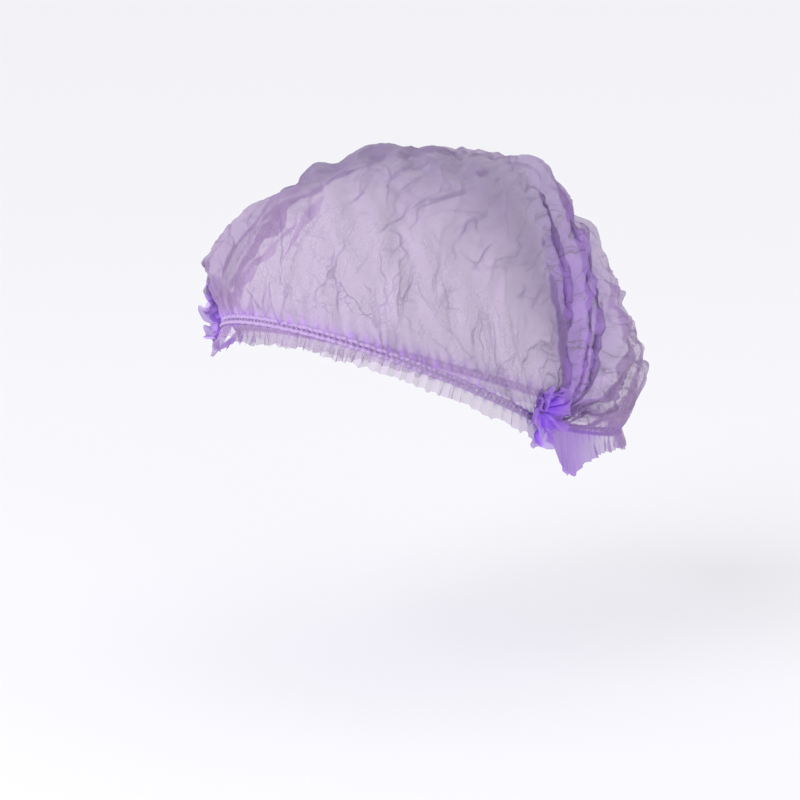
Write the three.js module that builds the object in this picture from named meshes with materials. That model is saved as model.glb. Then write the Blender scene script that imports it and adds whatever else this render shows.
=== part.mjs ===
// A disposable pleated cap, in the form that it takes when it is worn.
// One sheet of thin non-woven cloth, fan-pleated from side to side, has its two ends gathered into tufts
// over the ears. A double elastic is sewn along each long edge, across the forehead and round the nape,
// and the edge of the sheet beyond each elastic ruffles into a frill.
// Millimetres, +Z up. The wearer faces -Y and the wearer's left is +X. The origin is the middle of the
// space for the head, level with the left tuft.

import * as THREE from 'three';

// The head space that the cap is shaped over: a squared-off ellipsoid
const HEAD = { halfWidth: 75, halfDepth: 99, halfHeight: 93, centreUp: 16, squareness: 2.5 };

// Where the ends of the sheet are gathered, and where the front seam crosses the forehead
const LEFT_ROOT = new THREE.Vector3(74, -14, 0);
const RIGHT_ROOT = new THREE.Vector3(-67, -49, 34);
const FOREHEAD = new THREE.Vector3(0, -97, 49);

// The sheet's opening angle, from the front seam over the crown to the back seam, in degrees
const BACK_SEAM = 167;

// How close the cloth comes to each root before it gathers into the tuft, in degrees
const TUFT_HALF_ANGLE = 7;

// Thicknesses and gaps
const CLOTH = 1.2;
const GAP = 0.45;
const SEAM_SPLIT = 0.8;
const CLEAR_OF_SEAM = 7;
const ELASTIC = { halfWidth: 2, thickness: 1.2 };

// Frills: ruffle is the length of one wave, wave its half height at the free edge
const FRONT_FRILL = { ruffle: 11, wave: 1.5, flare: 0.3 };
const BACK_FRILL = { ruffle: 11, wave: 1.7, flare: 0.12 };
const FRONT_DEPTH = [
  { at: 7, depth: 12 },
  { at: 16, depth: 9.5 },
  { at: 50, depth: 9.5 },
  { at: 165, depth: 9.5 },
  { at: 173, depth: 14 },
];
const BACK_DEPTH = [
  { at: 7, depth: 12 },
  { at: 16, depth: 15 },
  { at: 30, depth: 8 },
  { at: 150, depth: 8.5 },
  { at: 160, depth: 13 },
  { at: 167, depth: 23 },
  { at: 173, depth: 12 },
];

// Steps of the faceted surfaces
const CROWN_STEPS = { across: 44, over: 21 };
const ELASTIC_STEPS = 48;
const STEPS_PER_RUFFLE = 5;
const TUFT_PLEATS = 8;
const STEPS_PER_PLEAT = 4;

// How far the cloth stands off the head space, by the angle over the crown (rows) and the place
// between the two tufts (columns)
const STAND_OFF = [
  { over: 0, right: 5, rightMid: 2, middle: 2, leftMid: 2, left: 2 },
  { over: 20, right: 8, rightMid: 8, middle: 3, leftMid: 4, left: 6 },
  { over: 45, right: 14, rightMid: 12, middle: 3, leftMid: 4, left: 8 },
  { over: 75, right: 11, rightMid: 6, middle: 6.5, leftMid: 5, left: 9 },
  { over: 105, right: 9, rightMid: 2, middle: 7, leftMid: 9, left: 13 },
  { over: 130, right: 8, rightMid: 15, middle: 20, leftMid: 21, left: 17 },
  { over: 150, right: 8, rightMid: 24, middle: 30, leftMid: 31, left: 12 },
  { over: 167, right: 2, rightMid: 18, middle: 25, leftMid: 25, left: 2 },
];
const PLACES = { right: 10, rightMid: 50, middle: 90, leftMid: 130, left: 170 };

// Puffs of the loose cloth: place and half size in degrees across and over, and height
const PUFFS = [
  { across: 106, over: 101, halfAcross: 10, halfOver: 9, height: 7 },
  { across: 150, over: 124, halfAcross: 12, halfOver: 8, height: 8 },
  { across: 132, over: 146, halfAcross: 16, halfOver: 7, height: 3 },
  { across: 26, over: 52, halfAcross: 12, halfOver: 12, height: 5 },
  { across: 40, over: 108, halfAcross: 16, halfOver: 8, height: 4 },
  { across: 74, over: 84, halfAcross: 20, halfOver: 10, height: 4 },
];

// Folds that run from tuft to tuft: the angle over the crown at each end, where the fold starts and
// stops between the tufts, its half width in degrees, and its depth
const FOLDS = [
  { overRight: 88, overLeft: 88, from: 112, to: 176, halfWidth: 7, depth: 7 },
  { overRight: 112, overLeft: 112, from: 96, to: 172, halfWidth: 6, depth: 5 },
  { overRight: 138, overLeft: 136, from: 50, to: 170, halfWidth: 6, depth: 5 },
  { overRight: 154, overLeft: 154, from: 30, to: 165, halfWidth: 4, depth: 3 },
  { overRight: 64, overLeft: 60, from: 8, to: 64, halfWidth: 6, depth: 4.5 },
  { overRight: 98, overLeft: 96, from: 8, to: 76, halfWidth: 6, depth: 4.5 },
  { overRight: 122, overLeft: 124, from: 10, to: 96, halfWidth: 6, depth: 4.5 },
];

// Rosette of each tuft, from inside the cap outwards: distance out along the tuft-to-tuft line,
// share of the hole's radius, and how deep the pleats are there
const TUFT_SECTIONS = [
  { out: -3, share: 0.86, pleat: 0 },
  { out: 0, share: 0.94, pleat: 0 },
  { out: 2.5, share: 0.94, pleat: 0.3 },
  { out: 6, share: 1.02, pleat: 1.4 },
  { out: 10.5, share: 1.12, pleat: 2.4 },
  { out: 9.5, share: 0.75, pleat: 1.8 },
  { out: 5.5, share: 0.4, pleat: 0.8 },
];

// How far each tuft leans upwards for its distance out
const TUFT_LEAN = { left: 0, right: 0.4 };

const COLOURS = { cloth: 0xbfa9d6, frill: 0xb7a4cf, elastic: 0xd2bde6, tuft: 0x8d68c4 };

const rad = THREE.MathUtils.degToRad;
const deg = THREE.MathUtils.radToDeg;

// The tuft-to-tuft axis, and the two directions square to it that the angle over the crown turns in
const MIDDLE = LEFT_ROOT.clone().add(RIGHT_ROOT).multiplyScalar(0.5);
const AXIS = LEFT_ROOT.clone().sub(RIGHT_ROOT).normalize();
const toForehead = FOREHEAD.clone().sub(MIDDLE);
const FRONT = toForehead.addScaledVector(AXIS, -toForehead.dot(AXIS)).normalize();
const UP = new THREE.Vector3().crossVectors(FRONT, AXIS);

// Smooth curve through the points (xs, ys), read at x and held at its ends
function smooth(xs, ys, x) {
  const last = xs.length - 1;
  const held = THREE.MathUtils.clamp(x, xs[0], xs[last]);
  let i = 0;
  while (i < last - 1 && held > xs[i + 1]) {
    i += 1;
  }
  const slope = (k) => {
    const a = Math.max(k - 1, 0);
    const b = Math.min(k + 1, last);
    return (ys[b] - ys[a]) / (xs[b] - xs[a]);
  };
  const width = xs[i + 1] - xs[i];
  const t = (held - xs[i]) / width;
  const rise = t * t * (3 - 2 * t);
  return ys[i] * (1 - rise) + ys[i + 1] * rise
    + width * (slope(i) * t * (1 - t) ** 2 - slope(i + 1) * t * t * (1 - t));
}

// Direction from the middle of the axis: across runs from the right tuft to the left one, over from
// the front seam to the back one, both in degrees
function direction(across, over) {
  const a = rad(across);
  const o = rad(over);
  return AXIS.clone().multiplyScalar(-Math.cos(a))
    .addScaledVector(FRONT, Math.sin(a) * Math.cos(o))
    .addScaledVector(UP, Math.sin(a) * Math.sin(o));
}

// Whether a point lies in the head space
function inHead(p) {
  const flat = (p.x / HEAD.halfWidth) ** 2 + (p.y / HEAD.halfDepth) ** 2;
  const tall = Math.abs((p.z - HEAD.centreUp) / HEAD.halfHeight);
  return flat ** (HEAD.squareness / 2) + tall ** HEAD.squareness < 1;
}

// Distance from the middle of the axis to the surface of the head space, halved down to it
function headDistance(d) {
  let inside = 0;
  let outside = 300;
  const p = new THREE.Vector3();
  while (outside - inside > 0.001) {
    const trial = (inside + outside) / 2;
    p.copy(MIDDLE).addScaledVector(d, trial);
    if (inHead(p)) {
      inside = trial;
    } else {
      outside = trial;
    }
  }
  return inside;
}

function standOff(across, over) {
  const angles = STAND_OFF.map((row) => row.over);
  const names = Object.keys(PLACES);
  const here = names.map((name) => smooth(angles, STAND_OFF.map((row) => row[name]), over));
  return smooth(names.map((name) => PLACES[name]), here, across);
}

function reliefHeight(across, over) {
  let height = 0;
  for (const fold of FOLDS) {
    const line = fold.overRight + (fold.overLeft - fold.overRight) * across / 180;
    const run = THREE.MathUtils.clamp((across - fold.from) / (fold.to - fold.from), 0, 1);
    const fade = Math.max(Math.sin(Math.PI * run), 0) ** 0.7;
    height -= fold.depth * fade * Math.exp(-(((over - line) / fold.halfWidth) ** 2));
  }
  for (const puff of PUFFS) {
    const sideways = (across - puff.across) / puff.halfAcross;
    const upwards = (over - puff.over) / puff.halfOver;
    height += puff.height * Math.exp(-(sideways ** 2) - (upwards ** 2));
  }
  return height;
}

// A point of the cap's outer surface, sunk by depth towards the middle of the axis
function onCap(across, over, depth = 0) {
  const d = direction(across, over);
  const reach = headDistance(d) + standOff(across, over) + reliefHeight(across, over) - depth;
  return MIDDLE.clone().addScaledVector(d, reach);
}

// Frame of a seam at one place: its point on the cap, the way out of the cloth, and the way down
// that the frill hangs, which flares outwards by the given slope
function seamFrame(across, over, flare) {
  const point = onCap(across, over);
  const along = onCap(across + 0.5, over).sub(onCap(across - 0.5, over)).normalize();
  const outward = new THREE.Vector3(point.x, point.y, 0).normalize();
  const down = new THREE.Vector3(0, 0, -1).addScaledVector(outward, flare);
  down.addScaledVector(along, -down.dot(along)).normalize();
  const normal = new THREE.Vector3().crossVectors(along, down).normalize();
  if (normal.dot(outward) < 0) {
    normal.negate();
  }
  return { point, down, normal };
}

// A point in a seam's frame: so far down from the seam, and so far out of the cloth
function inFrame(frame, down, out) {
  return frame.point.clone().addScaledVector(frame.down, down).addScaledVector(frame.normal, out);
}

function geometryOf(points, triangles) {
  let volume = 0;
  for (const [a, b, c] of triangles) {
    volume += points[a].dot(new THREE.Vector3().crossVectors(points[b], points[c]));
  }
  const facingOut = volume > 0 ? triangles : triangles.map(([a, b, c]) => [a, c, b]);
  const coordinates = points.flatMap((p) => [p.x, p.y, p.z]);
  const geometry = new THREE.BufferGeometry();
  geometry.setAttribute('position', new THREE.Float32BufferAttribute(coordinates, 3));
  geometry.setIndex(facingOut.flat());
  geometry.computeVertexNormals();
  return geometry;
}

// Splits a four-cornered face along its shorter diagonal
function pushFace(points, triangles, a, b, c, d) {
  if (points[a].distanceTo(points[c]) < points[b].distanceTo(points[d])) {
    triangles.push([a, b, c], [a, c, d]);
  } else {
    triangles.push([a, b, d], [b, c, d]);
  }
}

// A closed wall between two grids of points of the same size, given as lists of rows
function wallGeometry(outer, inner) {
  const rows = outer.length;
  const columns = outer[0].length;
  const points = [...outer.flat(), ...inner.flat()];
  const out = (i, j) => i * columns + j;
  const into = (i, j) => rows * columns + i * columns + j;
  const triangles = [];
  for (let i = 0; i < rows - 1; i += 1) {
    for (let j = 0; j < columns - 1; j += 1) {
      pushFace(points, triangles, out(i, j), out(i + 1, j), out(i + 1, j + 1), out(i, j + 1));
      pushFace(points, triangles, into(i, j), into(i, j + 1), into(i + 1, j + 1), into(i + 1, j));
    }
    const end = columns - 1;
    pushFace(points, triangles, out(i + 1, 0), out(i, 0), into(i, 0), into(i + 1, 0));
    pushFace(points, triangles, out(i, end), out(i + 1, end), into(i + 1, end), into(i, end));
  }
  for (let j = 0; j < columns - 1; j += 1) {
    const end = rows - 1;
    pushFace(points, triangles, out(0, j), out(0, j + 1), into(0, j + 1), into(0, j));
    pushFace(points, triangles, out(end, j + 1), out(end, j), into(end, j), into(end, j + 1));
  }
  return geometryOf(points, triangles);
}

// A closed body lofted through rings of points, with a point in the middle of each end
function ringGeometry(rings) {
  const around = rings[0].length;
  const middleOf = (ring) => {
    const sum = ring.reduce((total, p) => total.add(p), new THREE.Vector3());
    return sum.multiplyScalar(1 / around);
  };
  const points = [...rings.flat(), middleOf(rings[0]), middleOf(rings[rings.length - 1])];
  const first = points.length - 2;
  const last = points.length - 1;
  const at = (i, j) => i * around + (j % around);
  const triangles = [];
  for (let j = 0; j < around; j += 1) {
    for (let i = 0; i < rings.length - 1; i += 1) {
      pushFace(points, triangles, at(i, j), at(i, j + 1), at(i + 1, j + 1), at(i + 1, j));
    }
    triangles.push([first, at(0, j + 1), at(0, j)]);
    triangles.push([last, at(rings.length - 1, j), at(rings.length - 1, j + 1)]);
  }
  return geometryOf(points, triangles);
}

function steps(from, to, count) {
  return Array.from({ length: count + 1 }, (_, i) => from + (to - from) * i / count);
}

// Crown: the loose middle of the sheet, from seam to seam and from tuft to tuft
function crownGeometry() {
  const seamReach = [SEAM_SPLIT, ELASTIC.halfWidth + GAP];
  const outer = [];
  const inner = [];
  for (const across of steps(TUFT_HALF_ANGLE, 180 - TUFT_HALF_ANGLE, CROWN_STEPS.across)) {
    const front = seamFrame(across, 0, FRONT_FRILL.flare);
    const back = seamFrame(across, BACK_SEAM, BACK_FRILL.flare);
    const clear = (frame) => deg(CLEAR_OF_SEAM / (frame.point.distanceTo(MIDDLE) * Math.sin(rad(across))));
    const overs = steps(clear(front), BACK_SEAM - clear(back), CROWN_STEPS.over);
    const line = (depth) => [
      ...seamReach.map((reach) => inFrame(front, -reach, -depth)),
      ...overs.map((over) => onCap(across, over, depth)),
      ...[...seamReach].reverse().map((reach) => inFrame(back, -reach, -depth)),
    ];
    outer.push(line(0));
    inner.push(line(CLOTH));
  }
  return wallGeometry(outer, inner);
}

// Elastic: a flat band sewn on the outside of the cloth, over the seam
function elasticGeometry(over, flare) {
  const outer = [];
  const inner = [];
  for (const across of steps(TUFT_HALF_ANGLE + 2, 178 - TUFT_HALF_ANGLE, ELASTIC_STEPS)) {
    const frame = seamFrame(across, over, flare);
    const edges = [-ELASTIC.halfWidth, ELASTIC.halfWidth];
    outer.push(edges.map((down) => inFrame(frame, down, GAP + ELASTIC.thickness)));
    inner.push(edges.map((down) => inFrame(frame, down, GAP)));
  }
  return wallGeometry(outer, inner);
}

// Frill: the edge of the sheet beyond the elastic, flat under it and waving at its free edge
function frillGeometry(over, frill, depths) {
  const fine = steps(TUFT_HALF_ANGLE, 180 - TUFT_HALF_ANGLE, 400);
  const seam = fine.map((across) => onCap(across, over));
  const reached = [0];
  for (let i = 1; i < seam.length; i += 1) {
    reached.push(reached[i - 1] + seam[i].distanceTo(seam[i - 1]));
  }
  const length = reached[reached.length - 1];
  const count = Math.round(length / frill.ruffle) * STEPS_PER_RUFFLE;
  const outer = [];
  const inner = [];
  for (const along of steps(0, length, count)) {
    const i = Math.max(reached.findIndex((s) => s >= along - 1e-6), 1);
    const share = (along - reached[i - 1]) / (reached[i] - reached[i - 1]);
    const across = fine[i - 1] + (fine[i] - fine[i - 1]) * share;
    const frame = seamFrame(across, over, frill.flare);
    const depth = smooth(depths.map((row) => row.at), depths.map((row) => row.depth), across);
    const wave = frill.wave * Math.sin(2 * Math.PI * along / length * count / STEPS_PER_RUFFLE);
    const levels = [
      { down: SEAM_SPLIT, out: 0 },
      { down: ELASTIC.halfWidth + GAP, out: 0 },
      { down: depth, out: wave },
    ];
    outer.push(levels.map((level) => inFrame(frame, level.down, level.out)));
    inner.push(levels.map((level) => inFrame(frame, level.down, level.out - CLOTH)));
  }
  return wallGeometry(outer, inner);
}

// Tuft: the gathered end of the sheet, a pleated rosette that fills the hole round its root
function tuftGeometry(side) {
  const across = side > 0 ? 180 - TUFT_HALF_ANGLE : TUFT_HALF_ANGLE;
  const outwards = AXIS.clone().multiplyScalar(side);
  const lean = side > 0 ? TUFT_LEAN.left : TUFT_LEAN.right;
  const edge = (over) => onCap(across, over).sub(MIDDLE);
  const radius = (over) => {
    const p = edge(over);
    return p.addScaledVector(AXIS, -p.dot(AXIS)).length();
  };
  const reach = (over) => edge(over).dot(outwards);
  const count = TUFT_PLEATS * STEPS_PER_PLEAT;
  const rings = TUFT_SECTIONS.map((section) => steps(0, 360, count).slice(0, count).map((turn) => {
    const open = THREE.MathUtils.clamp((turn - BACK_SEAM) / (360 - BACK_SEAM), 0, 1);
    const held = (value) => (turn <= BACK_SEAM
      ? value(turn)
      : value(BACK_SEAM) * (1 - open) + value(0) * open);
    const pleat = section.pleat * Math.cos(rad(turn) * TUFT_PLEATS);
    const ringRadius = held(radius) * section.share + pleat;
    const raised = Math.max(section.out, 0) * lean;
    return MIDDLE.clone()
      .addScaledVector(outwards, held(reach) + section.out)
      .addScaledVector(FRONT, ringRadius * Math.cos(rad(turn)))
      .addScaledVector(UP, ringRadius * Math.sin(rad(turn)) + raised);
  }));
  return ringGeometry(rings);
}

const finishes = {
  cloth: new THREE.MeshStandardMaterial({ color: COLOURS.cloth, roughness: 0.75, metalness: 0 }),
  frill: new THREE.MeshStandardMaterial({ color: COLOURS.frill, roughness: 0.75, metalness: 0 }),
  elastic: new THREE.MeshStandardMaterial({ color: COLOURS.elastic, roughness: 0.6, metalness: 0 }),
  tuft: new THREE.MeshStandardMaterial({ color: COLOURS.tuft, roughness: 0.75, metalness: 0 }),
};

const cap = new THREE.Group();

function addPiece(name, geometry, finish) {
  const mesh = new THREE.Mesh(geometry, finish);
  mesh.name = name;
  cap.add(mesh);
}

addPiece('crown', crownGeometry(), finishes.cloth);
addPiece('front_frill', frillGeometry(0, FRONT_FRILL, FRONT_DEPTH), finishes.frill);
addPiece('back_frill', frillGeometry(BACK_SEAM, BACK_FRILL, BACK_DEPTH), finishes.frill);
addPiece('front_elastic', elasticGeometry(0, FRONT_FRILL.flare), finishes.elastic);
addPiece('back_elastic', elasticGeometry(BACK_SEAM, BACK_FRILL.flare), finishes.elastic);
addPiece('left_tuft', tuftGeometry(1), finishes.tuft);
addPiece('right_tuft', tuftGeometry(-1), finishes.tuft);

export default cap;
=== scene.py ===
import math
import bpy
import numpy as np
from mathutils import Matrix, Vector


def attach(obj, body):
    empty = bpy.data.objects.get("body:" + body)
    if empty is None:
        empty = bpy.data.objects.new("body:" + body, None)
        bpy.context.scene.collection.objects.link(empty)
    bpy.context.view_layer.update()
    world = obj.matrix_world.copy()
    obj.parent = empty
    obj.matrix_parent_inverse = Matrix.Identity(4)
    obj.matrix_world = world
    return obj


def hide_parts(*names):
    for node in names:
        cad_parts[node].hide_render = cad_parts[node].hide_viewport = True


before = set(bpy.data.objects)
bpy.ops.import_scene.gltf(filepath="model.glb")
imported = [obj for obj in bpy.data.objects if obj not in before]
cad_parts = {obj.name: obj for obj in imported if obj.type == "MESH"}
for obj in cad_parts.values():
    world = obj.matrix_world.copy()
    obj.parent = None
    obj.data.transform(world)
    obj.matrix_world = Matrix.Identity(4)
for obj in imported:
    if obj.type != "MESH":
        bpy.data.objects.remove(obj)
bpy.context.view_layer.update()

# Studio. A pale seamless floor under soft light from the front and both sides, and a long lens that
# looks down a little on the cap from in front of its left side. The cap is clear of the floor.
VIEW_AZIMUTH = math.radians(30)
VIEW_ELEVATION = math.radians(12)
VIEW_DISTANCE = 1.6
FRAME_WIDTH = 0.368
SENSOR = 36.0
SIDEWAYS_OFFSET = -0.0053
FLOOR_Z = -0.123
FLOOR_SIZE = 12
FLOOR_COLOUR = (0.86, 0.86, 0.88, 1)


def aim(thing, target):
    thing.rotation_euler = (Vector(target) - thing.location).to_track_quat("-Z", "Y").to_euler()


view_right = Vector((math.cos(VIEW_AZIMUTH), math.sin(VIEW_AZIMUTH), 0))
view_back = Vector((
    math.sin(VIEW_AZIMUTH) * math.cos(VIEW_ELEVATION),
    -math.cos(VIEW_AZIMUTH) * math.cos(VIEW_ELEVATION),
    math.sin(VIEW_ELEVATION),
))
look_at = view_right * SIDEWAYS_OFFSET
bpy.ops.object.camera_add(location=look_at + view_back * VIEW_DISTANCE)
camera = bpy.context.object
camera.data.sensor_width = SENSOR
camera.data.lens = SENSOR * VIEW_DISTANCE / FRAME_WIDTH
camera.data.clip_end = 20
aim(camera, look_at)
bpy.context.scene.camera = camera

LIGHTS = [
    {"name": "front_left", "place": (-0.8, -1.5, 0.35), "size": 0.5, "watts": 9},
    {"name": "front_right", "place": (1.7, -0.9, 0.6), "size": 0.9, "watts": 4},
]
LIT_POINT = (0, 0, 0.03)
SUN = {"place": (-0.7, -2.0, 1.5), "strength": 1.5, "spread": math.radians(45)}
for row in LIGHTS:
    bpy.ops.object.light_add(type="AREA", location=row["place"])
    lamp = bpy.context.object
    lamp.name = row["name"]
    lamp.data.size = row["size"]
    lamp.data.energy = row["watts"]
    aim(lamp, LIT_POINT)

bpy.ops.object.light_add(type="SUN", location=SUN["place"])
sun = bpy.context.object
sun.data.energy = SUN["strength"]
sun.data.angle = SUN["spread"]
aim(sun, (0, 0, 0))

WORLD_COLOUR = (0.89, 0.89, 0.91, 1)
WORLD_STRENGTH = 0.85
world = bpy.data.worlds.new("studio")
bpy.context.scene.world = world
world.use_nodes = True
world.node_tree.nodes["Background"].inputs["Color"].default_value = WORLD_COLOUR
world.node_tree.nodes["Background"].inputs["Strength"].default_value = WORLD_STRENGTH
bpy.context.scene.view_settings.view_transform = "Standard"
bpy.context.scene.cycles.transparent_max_bounces = 48

bpy.ops.mesh.primitive_plane_add(size=FLOOR_SIZE, location=(0, 0, FLOOR_Z))
floor = bpy.context.object
floor.name = "floor"
paper = bpy.data.materials.new("pale_paper")
paper.use_nodes = True
paper_nodes = paper.node_tree.nodes
paper_shader = paper_nodes["Principled BSDF"]
paper_shader.inputs["Base Color"].default_value = FLOOR_COLOUR
paper_shader.inputs["Roughness"].default_value = 0.9
seen_from_below = paper_nodes.new("ShaderNodeNewGeometry")
clear = paper_nodes.new("ShaderNodeBsdfTransparent")
either = paper_nodes.new("ShaderNodeMixShader")
paper.node_tree.links.new(seen_from_below.outputs["Backfacing"], either.inputs["Fac"])
paper.node_tree.links.new(paper_shader.outputs["BSDF"], either.inputs[1])
paper.node_tree.links.new(clear.outputs["BSDF"], either.inputs[2])
paper.node_tree.links.new(either.outputs["Shader"], paper_nodes["Material Output"].inputs["Surface"])
floor.data.materials.append(paper)

# Crown. One sheet of thin spun-bonded cloth, fan-pleated from tuft to tuft and opened to its worn form.
# It is loose and crumpled, fullest behind, and gathers into the elastics and the tufts. It is laid out
# on a grid, folded into its pleats, and then relaxed as a sheet that has more cloth than room.
INNER_FORM = {
    "half_width": 0.075, "half_depth": 0.099, "half_height": 0.093, "centre_up": 0.016, "squareness": 2.5}
LEFT_ROOT = np.array([0.074, -0.014, 0.0])
RIGHT_ROOT = np.array([-0.067, -0.049, 0.034])
FRONT_MIDDLE = np.array([0.0, -0.097, 0.049])
BACK_SEAM = 167.0
TUFT_HALF_ANGLE = 3.5
MIDDLE = (LEFT_ROOT + RIGHT_ROOT) / 2
AXIS = (LEFT_ROOT - RIGHT_ROOT) / np.linalg.norm(LEFT_ROOT - RIGHT_ROOT)
to_front = FRONT_MIDDLE - MIDDLE
to_front = to_front - AXIS * to_front.dot(AXIS)
FRONT = to_front / np.linalg.norm(to_front)
UP = np.cross(AXIS, FRONT)
UP = UP * np.sign(UP[2])

# stand-off from the inner form in millimetres, at angles over the crown, in columns from tuft to tuft
PLACES = np.array([10, 50, 90, 130, 170], float)
STAND_OFF = np.array([
    # over, right, right_mid, middle, left_mid, left
    [0, 5, 2, 2, 2, 2],
    [20, 8, 8, 3, 4, 6],
    [45, 14, 12, 3, 4, 8],
    [75, 11, 6, 6.5, 5, 9],
    [105, 9, 2, 7, 9, 13],
    [130, 8, 15, 20, 21, 17],
    [150, 8, 24, 30, 31, 12],
    [167, 2, 18, 25, 25, 2],
], float)

# puffs and folds: angles in degrees, heights and depths in millimetres
PUFFS = [
    {"across": 106, "over": 101, "half_across": 10, "half_over": 9, "height": 7},
    {"across": 150, "over": 124, "half_across": 12, "half_over": 8, "height": 8},
    {"across": 132, "over": 146, "half_across": 16, "half_over": 7, "height": 3},
    {"across": 26, "over": 52, "half_across": 12, "half_over": 12, "height": 5},
    {"across": 40, "over": 108, "half_across": 16, "half_over": 8, "height": 4},
    {"across": 74, "over": 84, "half_across": 20, "half_over": 10, "height": 4},
]
FOLDS = [
    {"over_right": 88, "over_left": 88, "from": 112, "to": 176, "half_width": 7, "depth": 7},
    {"over_right": 112, "over_left": 112, "from": 96, "to": 172, "half_width": 6, "depth": 5},
    {"over_right": 138, "over_left": 136, "from": 50, "to": 170, "half_width": 6, "depth": 5},
    {"over_right": 154, "over_left": 154, "from": 30, "to": 165, "half_width": 4, "depth": 3},
    {"over_right": 64, "over_left": 60, "from": 8, "to": 64, "half_width": 6, "depth": 4.5},
    {"over_right": 98, "over_left": 96, "from": 8, "to": 76, "half_width": 6, "depth": 4.5},
    {"over_right": 122, "over_left": 124, "from": 10, "to": 96, "half_width": 6, "depth": 4.5},
]

# pleats that are still closed: where each lies over the crown, the stretch between the tufts where
# it is closed, how far the cloth doubles back in degrees, and how far apart its layers lie
CLOSED_PLEATS = [
    {"over": 83, "from": 108, "to": 200, "back": 4.0, "half_width": 6.2, "lift": 1.0},
    {"over": 92, "from": 92, "to": 200, "back": 5.0, "half_width": 7.0, "lift": 1.2},
    {"over": 103, "from": 84, "to": 200, "back": 5.0, "half_width": 7.0, "lift": 1.2},
    {"over": 114, "from": 96, "to": 200, "back": 4.4, "half_width": 6.6, "lift": 1.1},
    {"over": 129, "from": 120, "to": 200, "back": 3.8, "half_width": 5.8, "lift": 1.0},
    {"over": 145, "from": 138, "to": 200, "back": 3.4, "half_width": 5.4, "lift": 1.0},
    {"over": 69, "from": 146, "to": 200, "back": 3.4, "half_width": 5.2, "lift": 0.8},
    {"over": 52, "from": 152, "to": 200, "back": 3.2, "half_width": 5.0, "lift": 0.8},
    {"over": 34, "from": 150, "to": 200, "back": 3.0, "half_width": 4.6, "lift": 0.7},
    {"over": 17, "from": 148, "to": 200, "back": 2.6, "half_width": 4.2, "lift": 0.6},
    {"over": 24, "from": -20, "to": 34, "back": 3.0, "half_width": 4.8, "lift": 0.7},
    {"over": 46, "from": -20, "to": 40, "back": 3.2, "half_width": 5.2, "lift": 0.8},
    {"over": 68, "from": -20, "to": 48, "back": 3.6, "half_width": 5.8, "lift": 0.9},
    {"over": 88, "from": -20, "to": 54, "back": 3.8, "half_width": 6.0, "lift": 0.9},
    {"over": 106, "from": -20, "to": 60, "back": 4.2, "half_width": 6.6, "lift": 1.0},
    {"over": 132, "from": -20, "to": 50, "back": 3.4, "half_width": 5.6, "lift": 0.9},
]


def smooth(xs, ys, x):
    """A smooth curve through (xs, ys), read at x and held at its ends."""
    x = np.clip(x, xs[0], xs[-1])
    ys = np.broadcast_to(ys, (len(x), len(xs)))
    i = np.clip(np.searchsorted(xs, x, side="right") - 1, 0, len(xs) - 2)
    row = np.arange(len(x))

    def slope(k):
        a = np.clip(k - 1, 0, len(xs) - 1)
        b = np.clip(k + 1, 0, len(xs) - 1)
        return (ys[row, b] - ys[row, a]) / (xs[b] - xs[a])

    width = xs[i + 1] - xs[i]
    t = (x - xs[i]) / width
    rise = t * t * (3 - 2 * t)
    bend = width * (slope(i) * t * (1 - t) ** 2 - slope(i + 1) * t * t * (1 - t))
    return ys[row, i] * (1 - rise) + ys[row, i + 1] * rise + bend


def ease(x):
    x = np.clip(x, 0, 1)
    return x * x * (3 - 2 * x)


def direction(across, over):
    """Directions from the middle of the axis, at angles from tuft to tuft and over the crown."""
    a = np.radians(across)[:, None]
    o = np.radians(over)[:, None]
    return -np.cos(a) * AXIS + np.sin(a) * (np.cos(o) * FRONT + np.sin(o) * UP)


def inner_distance(d):
    """Distance from the middle of the axis to the inner form along d, by halving."""
    inside = np.zeros(len(d))
    outside = np.full(len(d), 0.3)
    for _ in range(22):
        trial = (inside + outside) / 2
        p = MIDDLE + d * trial[:, None]
        flat = (p[:, 0] / INNER_FORM["half_width"]) ** 2 + (p[:, 1] / INNER_FORM["half_depth"]) ** 2
        tall = np.abs((p[:, 2] - INNER_FORM["centre_up"]) / INNER_FORM["half_height"])
        within = flat ** (INNER_FORM["squareness"] / 2) + tall ** INNER_FORM["squareness"] < 1
        inside = np.where(within, trial, inside)
        outside = np.where(within, outside, trial)
    return inside


def on_cap(across, over, lift=0.0):
    """Points of the smooth form, raised by lift in millimetres."""
    d = direction(across, over)
    columns = np.stack([smooth(STAND_OFF[:, 0], STAND_OFF[:, c], over) for c in range(1, 6)], 1)
    height = smooth(PLACES, columns, across) + lift
    for fold in FOLDS:
        line = fold["over_right"] + (fold["over_left"] - fold["over_right"]) * across / 180
        run = np.clip((across - fold["from"]) / (fold["to"] - fold["from"]), 0, 1)
        fade = np.sin(np.pi * run) ** 0.7
        height = height - fold["depth"] * fade * np.exp(-((over - line) / fold["half_width"]) ** 2)
    for puff in PUFFS:
        sideways = (across - puff["across"]) / puff["half_across"]
        upwards = (over - puff["over"]) / puff["half_over"]
        height = height + puff["height"] * np.exp(-sideways ** 2 - upwards ** 2)
    height = height * (0.25 + 0.75 * ease((np.minimum(across, 180 - across) - 3) / 13))
    return MIDDLE + d * (inner_distance(d) + height / 1000)[:, None]


def closed_here(pleat, across):
    """How far a pleat is closed at each place, from 0 to 1."""
    if pleat["to"] > 180:
        return ease((across - pleat["from"]) / 40)
    return ease((pleat["to"] - across) / 30)


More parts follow.
